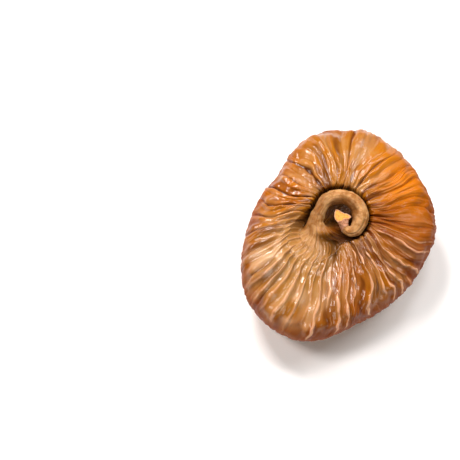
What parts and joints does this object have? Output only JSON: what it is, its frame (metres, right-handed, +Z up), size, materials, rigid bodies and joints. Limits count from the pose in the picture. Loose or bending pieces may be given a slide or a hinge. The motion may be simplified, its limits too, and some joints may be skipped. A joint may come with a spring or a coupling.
{
  "type": "dried fig",
  "caption": "Dried fig pressed flat from stalk to eye, with deep radial folds, its neck curled over in the hollow of the upper face, and the cut stub of its stalk.",
  "frame": {"origin": "on the surface that the fig lies on, under the middle of its box", "axes": "+Z up, from the eye towards the stalk side; +Y along the longest way across the fig, from the fan of the neck's root towards the top of its curl; +X to the right, seen from above"},
  "size_m": [0.0384, 0.0493, 0.018],
  "materials": {
    "skin": "amber-brown dried fruit skin, leathery and wrinkled, sticky and glossy on its folds, dry and matt on the neck",
    "stalk": "dry pale pith in a thin pinkish-brown bark, matt"
  },
  "bodies": {
    "root": {"fruit": "skin", "stalk": "stalk"}
  },
  "joints": []
}
